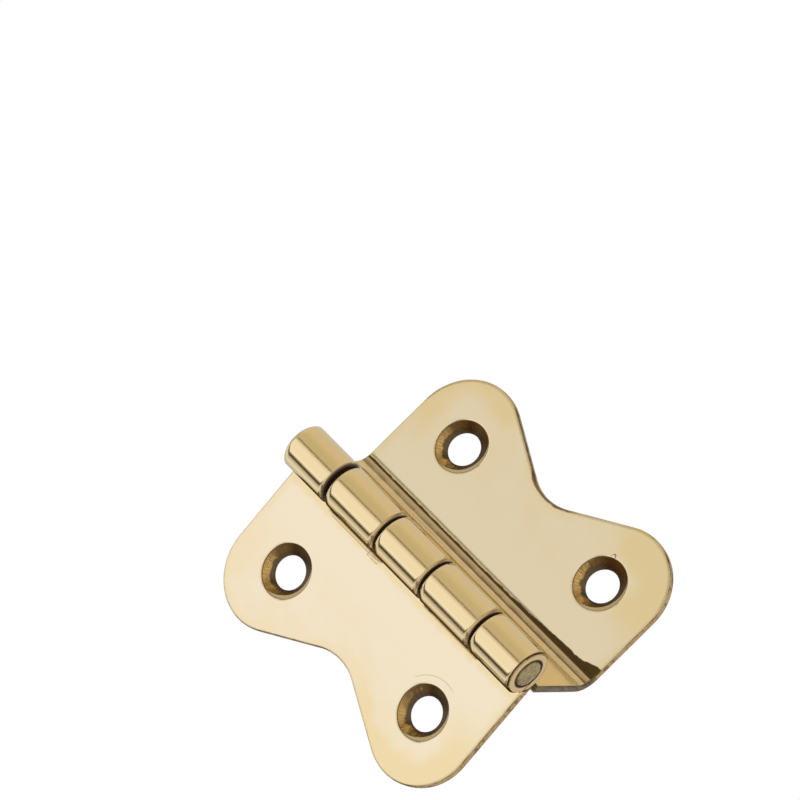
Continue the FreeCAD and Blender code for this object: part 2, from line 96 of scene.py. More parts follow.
# %% [markdown]
# ## The camera
# The photograph looks at the fronts of both leaves from below, with the hinge turned so that its pin
# runs from the upper left of the picture to the lower right. A long lens keeps the knuckles nearly
# parallel. The camera is given as a photographer would: the point it looks at, how far off it stands,
# and how it is turned.

# %% Camera
SENSOR_WIDTH = 36.0
LENS = 236.66
AIM = Vector((-1.337, -12.19, 14.587)) * MM
DISTANCE = 552.53 * MM
HEADING = math.radians(1.129)
RISE = math.radians(30.105)
ROLL = math.radians(-45.198)
NEAREST = 10 * MM

level_look = Vector((math.sin(HEADING), math.cos(HEADING), 0))
look = level_look * math.cos(RISE) + Vector((0, 0, math.sin(RISE)))
turned = look.to_track_quat("-Z", "Y").to_matrix() @ Matrix.Rotation(ROLL, 3, "Z")
camera_data = bpy.data.cameras.new("camera")
camera_data.sensor_width = SENSOR_WIDTH
camera_data.lens = LENS
camera_data.clip_start = NEAREST
camera = bpy.data.objects.new("camera", camera_data)
camera.matrix_world = Matrix.Translation(AIM - look * DISTANCE) @ turned.to_4x4()
bpy.context.scene.collection.objects.link(camera)
bpy.context.scene.camera = camera
bpy.context.scene.view_settings.view_transform = "Standard"
print("camera stands at", tuple(round(value, 4) for value in camera.matrix_world.translation))

# %% [markdown]
# ## Writing shader maths
# A node tree is easier to read as sums than as wires. `Wire` holds one output socket and adds a Math
# node for each sign in an expression. `Shading` adds every other node: it takes the node's type, then
# its settings, then the values or wires of its sockets. A Mix node's sockets share their names, so its
# colours are found by number.

# %% Wires and nodes
COLOUR_A = 6
COLOUR_B = 7
MIXED = 2


class Wire:
    """An output socket that can be used in sums."""

    def __init__(self, shading, socket):
        self.shading = shading
        self.socket = socket

    def __add__(self, other):
        return self.shading.math("ADD", self, other)

    def __radd__(self, other):
        return self.shading.math("ADD", other, self)

    def __sub__(self, other):
        return self.shading.math("SUBTRACT", self, other)

    def __rsub__(self, other):
        return self.shading.math("SUBTRACT", other, self)

    def __mul__(self, other):
        return self.shading.math("MULTIPLY", self, other)

    def __rmul__(self, other):
        return self.shading.math("MULTIPLY", other, self)

    def __truediv__(self, other):
        return self.shading.math("DIVIDE", self, other)

    def __abs__(self):
        return self.shading.math("ABSOLUTE", self)


class Shading:
    """Adds nodes to the tree of one material or of the world."""

    def __init__(self, owner):
        owner.use_nodes = True
        self.tree = owner.node_tree
        self.tree.nodes.clear()

    def node(self, kind, settings, sockets, output=0):
        """Adds a node with its settings and sockets, and gives back one of its outputs."""
        made = self.tree.nodes.new(kind)
        for name, value in settings.items():
            if name == "stops":
                set_stops(made.color_ramp, value)
            else:
                setattr(made, name, value)
        for name, value in sockets.items():
            if isinstance(value, Wire):
                self.tree.links.new(value.socket, made.inputs[name])
            else:
                made.inputs[name].default_value = value
        if made.outputs:
            return Wire(self, made.outputs[output])

    def math(self, operation, *values):
        return self.node("ShaderNodeMath", {"operation": operation}, dict(enumerate(values)))

    def largest(self, first, *others):
        """The largest of some values, so that masks laid over each other do not add up."""
        for other in others:
            first = self.math("MAXIMUM", first, other)
        return first

    def length(self, *sides):
        """The long side of a right triangle."""
        return self.math("SQRT", sum(side * side for side in sides))

    def parts(self, vector):
        """The three numbers of a vector, each as a wire."""
        split = self.node("ShaderNodeSeparateXYZ", {}, {"Vector": vector}).socket.node
        return [Wire(self, socket) for socket in split.outputs]

    def ease(self, value, start, end):
        """0 below start and 1 past end, with a soft change between them."""
        settings = {"interpolation_type": "SMOOTHSTEP", "clamp": True}
        places = {"Value": value, "From Min": start, "From Max": end, "To Min": 0.0, "To Max": 1.0}
        return self.node("ShaderNodeMapRange", settings, places)

    def fade(self, value, start, end):
        """1 below start and 0 past end."""
        return 1 - self.ease(value, start, end)

    def line(self, off_middle, solid, gone):
        """A drawn line: 1 up to solid from its middle, and 0 from gone on."""
        return self.fade(abs(off_middle), solid, gone)

    def mix(self, share, first, second):
        """A colour that goes from the first to the second as share goes from 0 to 1."""
        settings = {"data_type": "RGBA"}
        return self.node("ShaderNodeMix", settings, {0: share, COLOUR_A: first, COLOUR_B: second}, MIXED)

    def noise(self, place, fineness, detail=3.0, stretch=(1, 1, 1)):
        """Cloudy noise about 0. Fineness counts its patches in a millimetre, and stretch multiplies it."""
        scale = [fineness * share / MM for share in stretch]
        turned = self.node("ShaderNodeMapping", {}, {"Vector": place, "Scale": scale})
        return self.node("ShaderNodeTexNoise", {}, {"Vector": turned, "Scale": 1.0, "Detail": detail}) - 0.5


def set_stops(ramp, stops):
    """Gives a colour ramp its stops, as pairs of place and colour."""
    while len(ramp.elements) < len(stops):
        ramp.elements.new(0.5)
    for element, (place, colour) in zip(ramp.elements, stops):
        element.position = place
        element.color = colour


def linear(value):
    """One part of a colour picked on screen, 0 to 255, as the light that shaders use. It undoes sRGB."""
    share = value / 255
    return share / 12.92 if share <= 0.04045 else ((share + 0.055) / 1.055) ** 2.4


def paint(red, green, blue):
    return (linear(red), linear(green), linear(blue), 1.0)


print("a grey picked at a fifth of white is", round(linear(51), 3), "of its light")

# %% [markdown]
# ## The studio
# Polished metal has hardly any colour of its own: it shows the room. The photograph's hinge stands
# between white screens, with a dark gap at its left, a narrow dark gap in front and a warm board at its
# right. Here the world plays those surroundings by compass direction, so nothing stands in a camera's
# way. A ray from the camera itself finds plain white, and the metal finds the screens. Light that has
# met the metal twice comes out of the corner between barrel and leaf, where the photograph is darker.

# %% Surroundings
WHITE = (1.0, 1.0, 1.0, 1.0)
BRIGHT_SCREEN = (1.10, 1.12, 1.14, 1.0)
SCREEN = (1.0, 1.0, 1.0, 1.0)
GREY_SCREEN = (0.82, 0.80, 0.72, 1.0)
DIM_WALL = (0.66, 0.66, 0.64, 1.0)
BACK_SCREEN = (0.90, 0.90, 0.90, 1.0)
WIDE_GAP = (0.08, 0.06, 0.04, 1.0)
NARROW_GAP = (0.10, 0.07, 0.04, 1.0)
WARM_BOARD = (0.63, 0.57, 0.42, 1.0)
LIT_BOARD = (0.74, 0.66, 0.51, 1.0)
CEILING = (0.62, 0.56, 0.44, 1.0)
SURROUNDINGS = (
    (-180, DIM_WALL),
    (-177, DIM_WALL),
    (-175, WIDE_GAP),
    (-160, WIDE_GAP),
    (-156, SCREEN),
    (-149, BRIGHT_SCREEN),
    (-142, SCREEN),
    (-100, SCREEN),
    (-94, GREY_SCREEN),
    (-87, GREY_SCREEN),
    (-86.2, NARROW_GAP),
    (-82, NARROW_GAP),
    (-80, WARM_BOARD),
    (-50, WARM_BOARD),
    (-20, LIT_BOARD),
    (60, DIM_WALL),
    (140, DIM_WALL),
    (155, BACK_SCREEN),
    (165, BACK_SCREEN),
    (172, DIM_WALL),
    (180, DIM_WALL),
)
SCREEN_FEET = (0.26, 0.20, 0.11, 1.0)
CORNER_WALL = (0.85, 0.84, 0.80, 1.0)
IN_THE_CORNER = (
    (-180, CORNER_WALL),
    (-164, CORNER_WALL),
    (-155, WIDE_GAP),
    (-118, WIDE_GAP),
    (-110, SCREEN),
)
CEILING_START = math.sin(math.radians(74))
CEILING_FULL = math.sin(math.radians(82))
SCREEN_FOOT = math.sin(math.radians(3))
SCREEN_FULL = math.sin(math.radians(12))
SECOND_BOUNCE = (1.4, 1.6)


def compass_place(degrees):
    """A direction on the compass, -180 to 180, as a place along a colour ramp."""
    return (degrees + 180) / 360


world = bpy.data.worlds.new("studio")
bpy.context.scene.world = world
studio = Shading(world)
east, north, height = studio.parts(studio.node("ShaderNodeTexCoord", {}, {}, "Generated"))
compass = studio.math("ARCTAN2", north, east) / (2 * math.pi) + 0.5
light_path = studio.node("ShaderNodeLightPath", {}, {}).socket.node
stops = [(compass_place(degrees), colour) for degrees, colour in SURROUNDINGS]
corner_stops = [(compass_place(degrees), colour) for degrees, colour in IN_THE_CORNER]
corner_stops += [stop for stop in stops if stop[0] > corner_stops[-1][0]]
walls = studio.node("ShaderNodeValToRGB", {"stops": stops}, {0: compass})
corner_walls = studio.node("ShaderNodeValToRGB", {"stops": corner_stops}, {0: compass})
bounces = Wire(studio, light_path.outputs["Glossy Depth"])
walls = studio.mix(studio.ease(bounces, *SECOND_BOUNCE), walls, corner_walls)
walls = studio.mix(studio.ease(height, SCREEN_FOOT, SCREEN_FULL), SCREEN_FEET, walls)
room = studio.mix(studio.ease(height, CEILING_START, CEILING_FULL), walls, CEILING)
from_metal = Wire(studio, light_path.outputs["Is Glossy Ray"])
shown = studio.mix(from_metal, WHITE, room)
glow = studio.node("ShaderNodeBackground", {}, {"Color": shown, "Strength": 1.0})
studio.node("ShaderNodeOutputWorld", {}, {"Surface": glow})
print("surroundings with", len(stops), "stops")

# %% [markdown]
# ## The floor
# The hinge is made to be screwed up, so it hangs where it would be fixed, and the floor lies well
# below it and below the camera. It is one plain pale sheet.

# %% Floor
FLOOR_DEPTH = 320 * MM
FLOOR_SIDE = 12.0
FLOOR_COLOUR = (0.86, 0.86, 0.86, 1.0)
FLOOR_ROUGHNESS = 0.8

bpy.ops.object.select_all(action="DESELECT")
bpy.ops.mesh.primitive_plane_add(size=FLOOR_SIDE, location=(0, 0, -FLOOR_DEPTH))
floor = bpy.context.object
floor.name = "floor"
bpy.ops.object.transform_apply(location=True, rotation=True, scale=True)
floor_material = bpy.data.materials.new("pale_floor")
floor_shading = Shading(floor_material)
floor_sockets = {"Base Color": FLOOR_COLOUR, "Roughness": FLOOR_ROUGHNESS}
floor_surface = floor_shading.node("ShaderNodeBsdfPrincipled", {}, floor_sockets)
floor_shading.node("ShaderNodeOutputMaterial", {}, {"Surface": floor_surface})
floor.data.materials.append(floor_material)
print("floor", FLOOR_DEPTH, "m below the hinge")

# %% [markdown]
# ## Brass, layer by layer
# On the real hinge the faces were buffed on a soft wheel, which leaves them yellower towards the
# borders and rounds every rim a little. Their cream, paler than the barrel, is partly a painted sheen.
# The countersinks were out of the wheel's reach and stay rough and brown, with a painted lit side and
# painted shade at the hole. The gaps between the knuckles and the inside corner of the crank are rougher
# too, and much of their brown is painted shade and painted reflection. One colour could not show that,
# so one brass is built from masks, and each mask says where on the piece a tool has been or where shade,
# a highlight or a reflection is painted.

# %% Colours of the brass
# The cream of the faces, paler than the barrel's yellow, is partly a painted sheen.
CREAM_SHEEN_BRASS = paint(243, 227, 199)
YELLOW_BRASS = paint(240, 218, 172)
CUT_AND_SHADED_BRASS = paint(182, 152, 100)
END_BRASS = paint(210, 182, 132)
DULL_AND_SHADED_BRASS = paint(184, 160, 98)
WEB_BRASS = paint(236, 206, 142)
DRILLED_BRASS = paint(214, 174, 104)
LIP_HIGHLIGHT_BRASS = paint(200, 176, 128)
# The browns below are partly dirt and partly painted shade and reflection; the throat's is painted shade.
BROWN_GRIME_AND_SHADE = paint(104, 80, 46)
THROAT_SHADE = paint(84, 70, 54)
DARK_GRIME_AND_SHADE = paint(90, 74, 44)
GAP_SHADE_AND_GRIME = paint(66, 48, 34)
WEB_SHADE_AND_GRIME = paint(62, 40, 14)
BUFFED_ROUGHNESS = 0.03
CUT_ROUGHNESS = 0.32
print("polish roughness", BUFFED_ROUGHNESS, "and cut roughness", CUT_ROUGHNESS)

# %% Places on a piece of brass
FACING = (0.5, 0.8)
BARREL_EDGE = 0.1


class Brass(Shading):
    """The shading of one brass piece, with its places in millimetres."""

    def __init__(self, name, screws):
        self.material = bpy.data.materials.new(name)
        super().__init__(self.material)
        self.row, self.axis, self.half_spacing = screws
        self.place = self.node("ShaderNodeTexCoord", {}, {}, "Object")
        self.x, self.y, self.z = [part / MM for part in self.parts(self.place)]
        self.below = self.z * -1
        self.across = self.from_row(self.x, self.y)
        self.from_pin = self.length(self.x - pin_axis.x, self.y - pin_axis.y)
        self.off_barrel = self.ease(self.from_pin, barrel_radius, barrel_radius + BARREL_EDGE)
        self.normal = self.parts(self.node("ShaderNodeTexCoord", {}, {}, "Normal"))
        self.square = self.normal[0] * self.axis.x + self.normal[1] * self.axis.y
        self.not_back = self.fade(self.square, *FACING)
        self.on_face = self.ease(self.square * -1, *FACING)

    def from_row(self, x, y):
        """How far a place is from the row of screws, along the sheet."""
        return (x - self.row.x) * self.axis.y - (y - self.row.y) * self.axis.x

    def near_barrel(self, solid, gone):
        """1 up to solid outside the barrel, and 0 from gone on."""
        return self.fade(self.from_pin, barrel_radius + solid, barrel_radius + gone)

    def around_screw(self):
        """How far a point is from the nearer screw, and the two parts of the direction to it."""
        up = (abs(self.z) - self.half_spacing) * self.math("SIGN", self.z)
        reach = self.length(self.across, up)
        return reach, self.across / reach, up / reach

    def finish(self, colour, dirt_and_painted_light, roughness, normal):
        """Joins the layers. Dirt, film and the painted shade and highlight laid as non-metal take away from the
        metal's share.
        """
        sockets = {"Base Color": colour, "Metallic": 1 - dirt_and_painted_light, "Roughness": roughness, "Normal": normal}
        surface = self.node("ShaderNodeBsdfPrincipled", {}, sockets)
        self.node("ShaderNodeOutputMaterial", {}, {"Surface": surface})
        return self.material


print("a surface counts as a face from", FACING[1], "of square-on")

# %% [markdown]
# ## Borders and mottling
# A buffing wheel presses less near the outline, so the border keeps more of the yellow. The outline
# could be traced point by point, but a rounded oblong with a waist is near enough for a soft mask, and
# two circles say how far a point is from it.

# %% Distance from the outline
LOBE = 6.4
WAIST = 6.0
LOBE_PAST_SCREW = 1.0
WAIST_PAST_SCREW = 8.5


def from_border(brass, outward):
    """About how far a point of the face is inside the outline."""
    past_screw = brass.across * outward
    side = brass.largest(past_screw - LOBE_PAST_SCREW, 0.0)
    end = brass.largest(abs(brass.z) - (half_length - LOBE), 0.0)
    lobe = LOBE - brass.length(side, end)
    waist = brass.length(past_screw - WAIST_PAST_SCREW, brass.z) - WAIST
    return brass.math("MINIMUM", lobe, waist)


print("outline of circles", LOBE, "and", WAIST, "mm in radius")

# %% Yellow patches
PATCH_FINENESS = 0.16
PATCH_RAGGEDNESS = 9.0
PATCH_EDGE = (0.4, 3.4)
CRANKED_LOBES = (6.0, 11.0)
FLAT_LOWER_LOBE = (1.0, 7.0)
FLAT_UPPER_SHARE = 0.45
BORDER_EDGE = (0.4, 1.4)
BORDER_SHARE = 0.55
FAINT_FINENESS = 0.3
FAINT_SHARE = 0.35
BESIDE_SCREWS = (-5.0, 1.0)


def yellowed(brass, outward, cranked):
    """Mask of the yellower brass. It lies in patches along the borders, away from the barrel."""
    border = from_border(brass, outward)
    clouds = brass.noise(brass.place, PATCH_FINENESS) * PATCH_RAGGEDNESS
    if cranked:
        share = brass.ease(abs(brass.z), *CRANKED_LOBES)
    else:
        share = FLAT_UPPER_SHARE + brass.ease(brass.below, *FLAT_LOWER_LOBE) * (1 - FLAT_UPPER_SHARE)
    patches = brass.fade(border + clouds - share, *PATCH_EDGE) * share
    faint = brass.ease(brass.noise(brass.place, FAINT_FINENESS, 4.0), -0.15, 0.2) * FAINT_SHARE
    away = brass.ease(brass.across * outward, *BESIDE_SCREWS)
    edge = brass.fade(border, *BORDER_EDGE) * BORDER_SHARE
    return brass.largest(brass.largest(patches, faint) * away, edge)


print("yellow patches about", round(1 / PATCH_FINENESS, 1), "mm wide")

# %% [markdown]
# ## Screw holes
# The countersink was cut with a rose bit. Its cone is brown, golden on one side as painted light, and
# darkest at the through hole as painted shade. Fine streaks run down the cone, and low down a pale lip
# over the rim is a painted highlight. The cone itself is in the CAD, so only its colours are laid here, by
# the distance and the direction from the nearer screw.

# %% Drilled cone
STREAKS_AROUND = 8.0
STREAKS_DOWN = 0.7
STREAK_FINENESS = 2.0
RING_PITCH = 0.16
RING_SHARE = 0.12
LIT_SIDE = (0.4, 1.7)
THROAT = 0.45
THROAT_EDGE = 0.12
THROAT_SIDE = (-0.75, -1.15)
THROAT_DEPTH = 0.9


def cone_streaks(brass, reach, right, up):
    """Fine streaks down the cone, which come and go in patches."""
    turn = {"X": right * STREAKS_AROUND, "Y": up * STREAKS_AROUND, "Z": reach * STREAKS_DOWN}
    around = brass.node("ShaderNodeCombineXYZ", {}, turn)
    sockets = {"Vector": around, "Scale": STREAK_FINENESS, "Detail": 4.0}
    streaks = brass.node("ShaderNodeTexNoise", {}, sockets) - 0.5
    patches = brass.noise(brass.place, 0.7, 4.0)
    return streaks * brass.ease(patches, -0.2, 0.2) + patches * 0.3


def cone_colour(brass, reach, right, up, streaks, wobble):
    """Brown brass with the rings of the bit, golden on one side as painted light and darkest at the through hole
    as painted shade.
    """
    rings = brass.math("SINE", (reach + wobble * 0.15) * (2 * math.pi / RING_PITCH)) * RING_SHARE
    # Painted light and shade: one side of the cone is golden, the other brown.
    lit_side = brass.ease(up - right + streaks * 4.0 + rings, *LIT_SIDE)
    colour = brass.mix(lit_side, BROWN_GRIME_AND_SHADE, DRILLED_BRASS)
    shaded_low_side = right * THROAT_SIDE[0] + up * THROAT_SIDE[1] + streaks * 0.4
    past_hole = reach + wobble * 0.9 - hole_radius + brass.ease(shaded_low_side, 0.2, 0.6) * 0.2
    # Painted shade: darkest brown round the through hole, wider on the low side.
    throat_shade = brass.fade(past_hole, THROAT - THROAT_EDGE, THROAT + THROAT_EDGE)
    return brass.mix(throat_shade * THROAT_DEPTH, colour, THROAT_SHADE)


print("cone streaked round a hole of", hole_radius, "mm in radius")

# %% Rim and lip
SINK_RIM = 3.0
RIM_LINE = (0.02, 0.07)
RIM_LINE_SHARE = 0.7
LIP = 2.42
LIP_TAPER = 0.75
LIP_SIDE = (-0.45, -0.89)
LIP_EDGE = 0.06


def drilled(brass):
    """Masks of the drilled cone and of its pale lip, a painted highlight, and the cone's colour."""
    reach, right, up = brass.around_screw()
    streaks = cone_streaks(brass, reach, right, up)
    wobble = brass.noise(brass.place, 1.0)
    colour = cone_colour(brass, reach, right, up, streaks, wobble)
    toward = right * LIP_SIDE[0] + up * LIP_SIDE[1] + streaks * 0.2
    lip_start = LIP + (1 - toward) * LIP_TAPER
    # Painted highlight: a pale, hardly metal crescent on the low side of the rim.
    highlight_lip = brass.ease(reach + wobble * 0.12 - lip_start, 0.0, LIP_EDGE)
    colour = brass.mix(highlight_lip, colour, LIP_HIGHLIGHT_BRASS)
    off_rim = reach + wobble * 0.06 - SINK_RIM
    colour = brass.mix(brass.line(off_rim, *RIM_LINE) * RIM_LINE_SHARE, colour, BROWN_GRIME_AND_SHADE)
    cone = brass.fade(off_rim, *RIM_LINE) * brass.not_back
    return cone, highlight_lip * cone, colour


print("countersink's rim", SINK_RIM, "mm from the screw's middle")

# %% [markdown]
# ## Scratches
# A polished face is never quite clean. A few hairlines run the way the hinge was wiped, a screwdriver
# has slipped round one hole, one countersink has kept a burr, and a small nick lies beside the barrel.
# The nick's dark outline and a dark line in the notch beside the barrel are painted shade. They are too
# fine for a shape of their own, so each is a line in the colour.

# %% Fine lines
HAIR_FINENESS = 0.6
HAIR_STRETCH = (7.0, 7.0, 0.3)
HAIR_SHARE = 0.3
SLIP_REACH = 3.95
SLIP_SHARE = 0.5
BURR_PLACE = (2.95, -10.5)
BURR_RADIUS = 0.25
BURR_WIDENING = 0.8
BURR_LINE = (0.03, 0.09)
BURR_SHARE = 0.8
FINE_LINE = (0.02, 0.08)


def hairlines(brass):
    """Faint scratches that run along the pin."""
    hairs = brass.noise(brass.place, HAIR_FINENESS, 1.0, HAIR_STRETCH)
    return brass.ease(hairs, 0.26, 0.32) * HAIR_SHARE


def slip(brass):
    """A faint arc where a screwdriver slipped round the lower hole."""
    reach, right, up = brass.around_screw()
    sector = brass.ease(right, 0.45, 0.6) * brass.ease(up, -0.35, -0.2)
    sector = sector * brass.ease(brass.below, 0.0, 1.0)
    return brass.line(reach - SLIP_REACH, *FINE_LINE) * sector * SLIP_SHARE


def burr(brass):
    """A small dark loop on the rim of a countersink."""
    from_burr = brass.length((brass.x - BURR_PLACE[0]) * BURR_WIDENING, brass.z - BURR_PLACE[1])
    return brass.line(from_burr - BURR_RADIUS, *BURR_LINE) * BURR_SHARE


print("slip mark", SLIP_REACH, "mm from a screw's middle")

# %% Nick and dark line
NICK_PLACE = (-14.98, 4.65)
NICK_SIZE = (0.2, 0.8)
NICK_SHARE = 0.6
NOTCH_LINE = 3.42
NOTCH_MIDDLE = 8.0
NOTCH_HALF = (3.6, 4.1)
NOTCH_SHARE = 0.5


def nick(brass):
    """The dark outline of a small nick beside the barrel, painted shade round its raised sliver."""
    # Painted shade: a dark outline round the nick's raised sliver.
    aside = brass.x - NICK_PLACE[0] + brass.noise(brass.place, 1.5) * 0.15
    outline = brass.largest(abs(aside) - NICK_SIZE[0], abs(brass.z - NICK_PLACE[1]) - NICK_SIZE[1])
    return brass.line(outline, *FINE_LINE) * NICK_SHARE


def notch_shade_line(brass):
    """A dark line of painted shade in the notch that lets the second knuckle pass."""
    # Painted shade: a dark line in the notch beside the second knuckle.
    beside_pin = abs(brass.across - brass.from_row(pin_axis.x, pin_axis.y))
    off_line = beside_pin - NOTCH_LINE + brass.noise(brass.place, 0.8) * 0.1
    by_notch = brass.line(brass.z - NOTCH_MIDDLE, *NOTCH_HALF)
    return brass.line(off_line, *FINE_LINE) * by_notch * NOTCH_SHARE


def scratched(brass, cranked):
    """Masks of a face's faint scratches and of its dark marks, which are partly painted shade."""
    broken = brass.ease(brass.noise(brass.place, 1.8, 2.0), -0.15, 0.05) * brass.on_face
    if cranked:
        return hairlines(brass), burr(brass) * broken
    faint = brass.largest(hairlines(brass), slip(brass) * brass.on_face)
    return faint, brass.largest(nick(brass) * broken, notch_shade_line(brass) * brass.on_face)


print("nick", NICK_SIZE[1] * 2, "mm long")

# %% [markdown]
# ## Knuckle ends
# The knuckles were buffed unevenly. In the photograph their upper ends are rounder than the CAD's even
# bevels and their lower ends sharper, by a fraction of a millimetre. The CAD could have a bevel for each
# end, but the difference shows only in the light. So a bump falls away towards the upper ends and rises
# towards the lower ones. Just above each lower end a duller, darker brass is laid as painted shade.

# %% Rounded knuckle ends
UPPER_ROUND = 0.8
UPPER_DROP = 0.32
LOWER_ROUND = 0.6
LOWER_LIFT = 0.28
BARREL_SKIN = (0.02, 0.06)


def near_ends(brass, ends, side, reach):
    """1 at the given ends of the knuckles and 0 past reach, on the side where the knuckle is."""
    nearest = reach
    for level in ends:
        inside = (brass.z - level) * side
        outside = brass.ease(inside * -1, *BARREL_SKIN)
        nearest = brass.math("MINIMUM", nearest, abs(inside) + outside * reach)
    return 1 - nearest / reach


def knuckle_rounding(brass):
    """Height of the barrel's surface, in millimetres: upper ends are rounder than cut, lower ends less."""
    upper = near_ends(brass, upper_ends, -1, UPPER_ROUND)
    lower = near_ends(brass, lower_ends, 1, LOWER_ROUND)
    height = lower * lower * LOWER_LIFT - upper * upper * UPPER_DROP
    return height * brass.near_barrel(*BARREL_SKIN)


print("upper ends of the knuckles", upper_ends)

# %% Painted shade at the lower rims
RIM_SKIN = (0.05, 0.1)
SHADED_RIM_START = 0.04
SHADED_RIM = (0.12, 0.35)
SHADED_RIM_SHARE = 0.35


def lower_end_shade(brass):
    """Mask of the painted shade at each knuckle's lower end, laid in a duller brass."""
    mask = 0.0
    for level in lower_ends:
        # Painted shade: the lower end of each knuckle is darkened towards a duller brass.
        above = brass.ease(brass.z, level - SHADED_RIM_START, level)
        mask = above * brass.fade(brass.z, level + SHADED_RIM[0], level + SHADED_RIM[1]) + mask
    return mask * brass.near_barrel(*RIM_SKIN) * SHADED_RIM_SHARE


print("lower ends of the knuckles", lower_ends)

# %% [markdown]
# ## Dirt and painted shade round the barrel
# The wheel can't reach into the seam round the pin, so dirt and old polish stay there. Along the foot of
# the barrel the crease holds both dirt and painted shade. The gaps between two knuckles are real ones, but
# bare metal would mirror the room in them, so painted shade fills them: it is brown and hardly metal,
# and it runs a little way up the knuckle above. The line round the rim of each end is painted shade too.

# %% Barrel's ends and foot
END_FACING = (0.3, 0.5)
END_SKIN = (0.0, 0.05)
END_DEPTH = (0.3, 0.2)
RIM_SHADE = (0.22, 0.12)
RIM_SHADE_SHARE = 0.95
BORE_DIRT = (0.16, 0.28)
FOOT = (0.955, 0.975)
FOOT_SHARE = 0.5


def on_barrel_end(brass):
    """Mask of the two flat ends of the barrel, with their bevels."""
    return brass.ease(abs(brass.normal[2]), *END_FACING) * brass.near_barrel(*END_SKIN)


def end_rings(brass):
    """Mask of the dirt line round the pin and of the painted shade line round the rim, on the barrel's two outer
    ends.
    """
    wobble = brass.noise(brass.place, 1.6) * 0.3
    # Painted shade: a dark line round the rounded rim of each outer end.
    rim = brass.ease(brass.from_pin + wobble, barrel_radius - RIM_SHADE[0], barrel_radius - RIM_SHADE[1])
    bore = brass.fade(brass.from_pin + wobble * 0.4, pin_radius + BORE_DIRT[0], pin_radius + BORE_DIRT[1])
    outer = brass.ease(abs(brass.z), half_length - END_DEPTH[0], half_length - END_DEPTH[1])
    return brass.largest(rim * RIM_SHADE_SHARE, bore) * outer * on_barrel_end(brass)


def barrel_foot_dirt_and_shade(brass):
    """Mask of the dirt and painted shade along the foot of the barrel, in the crease where the flat leaf meets it.
    """
    # Dirt and painted shade: the crease between barrel and flat leaf is darkened.
    beside = (brass.x - pin_axis.x) * -1 + brass.noise(brass.place, 0.8) * 0.06
    foot = brass.ease(beside, barrel_radius * FOOT[0], barrel_radius * FOOT[1])
    return foot * brass.near_barrel(*BARREL_SKIN) * FOOT_SHARE


print("dirt at the barrel's foot from", round(barrel_radius * FOOT[0], 2), "mm beside the pin")

# %% Painted shade in the sawn gaps
GAP_START = (0.08, 0.02)
GAP_SKIN = (0.1, 0.5)
SHADE_ABOVE = 0.5
SHADE_SHORT = 0.1
SHADE_EDGE = 0.07


def gap_shade(brass):
    """Mask of the painted shade between two knuckles, and on a little of the knuckle above."""
    between = 0.0
    # Painted shade: the gaps between knuckles are made dark brown and hardly metal.
    for low, high in knuckle_gaps:
        over_low = brass.ease(brass.z, low - GAP_START[0], low + GAP_START[1])
        shade_end = high + (high - low) * SHADE_ABOVE - SHADE_SHORT
        between = over_low * brass.fade(brass.z, shade_end - SHADE_EDGE, shade_end + SHADE_EDGE) + between
    return between * brass.near_barrel(*GAP_SKIN)


def barrel_dirt_and_shade(brass, colour, shaded_gap):
    """The barrel's dirt and painted shade laid over a colour."""
    colour = brass.mix(barrel_foot_dirt_and_shade(brass), colour, BROWN_GRIME_AND_SHADE)
    colour = brass.mix(on_barrel_end(brass), colour, END_BRASS)
    # Painted shade laid into the gaps.
    colour = brass.mix(shaded_gap, colour, GAP_SHADE_AND_GRIME)
    return brass.mix(end_rings(brass), colour, GAP_SHADE_AND_GRIME)


print("gaps of", [round(high - low, 2) for low, high in knuckle_gaps], "mm")

# %% [markdown]
# ## Cut edges
# The outline was blanked with a press and only brushed on the wheel, so its edge is streaked brown. A
# cut edge is a face that stands square to the sheet. No edge has to be listed by hand, because the mask
# looks at which way the surface faces. The rims are painted darker on the side that faces down, as shade,
# and a ragged dark line along the waist of the cranked leaf is a painted reflection.

# %% Sheared edges
SHEET_END = (8.0, 9.0)
WAIST_MIDDLE = 1.0
DARK_WAIST_HALF = (3.5, 6.0)
DARK_WAIST_EDGE = (0.25, 0.4)
DARK_WAIST_SHARE = 0.8


def sheared(brass):
    """Masks of the sheet's cut edges and of their brown rims, away from the knuckles; the rims are painted darker,
    as shade, where they face down.
    """
    square = abs(brass.square)
    on_sheet = brass.fade(abs(brass.across), *SHEET_END)
    edge = brass.fade(square, 0.45, 0.6) * on_sheet
    rim = brass.ease(square, 0.5, 0.6) * brass.fade(square, 0.85, 0.95) * on_sheet
    ragged = brass.ease(brass.noise(brass.place, 0.6, 5.0), -0.12, 0.1)
    # Painted shade: the rims are darker on the side that faces down.
    shaded_low_side = brass.ease(brass.normal[2] * -1, -0.2, 0.2)
    rim = rim * (0.15 + ragged * 0.4 + shaded_low_side * 0.35)
    return brass.largest(edge, brass.ease(abs(brass.normal[2]), 0.75, 0.85)), rim


def dark_waist_reflection(brass, outward):
    """Mask of the ragged dark line along the waist, a painted reflection of the room's dark gap in its rounded
    rim.
    """
    # Painted reflection: a ragged dark line follows the waist's border on the face.
    border = from_border(brass, outward) + brass.noise(brass.place, 0.9, 5.0) * 0.5
    at_waist = brass.line(brass.z - WAIST_MIDDLE, *DARK_WAIST_HALF)
    return brass.fade(border, *DARK_WAIST_EDGE) * at_waist * brass.on_face * DARK_WAIST_SHARE


print("the waist is torn over", DARK_WAIST_HALF[1] * 2, "mm")

# %% Colour of the cuts
STREAK_STRETCH = (2.5, 0.6, 1.5)
STREAK_SHARE = 0.75
WEB_CUT = (-0.4, 0.2)
WEB_CUT_RAGGEDNESS = 1.5
WEB_CUT_DEPTH = 0.75
FACING_PIN = (0.5, 0.7)
WEB_CUT_REACH = (1.2, 1.5)


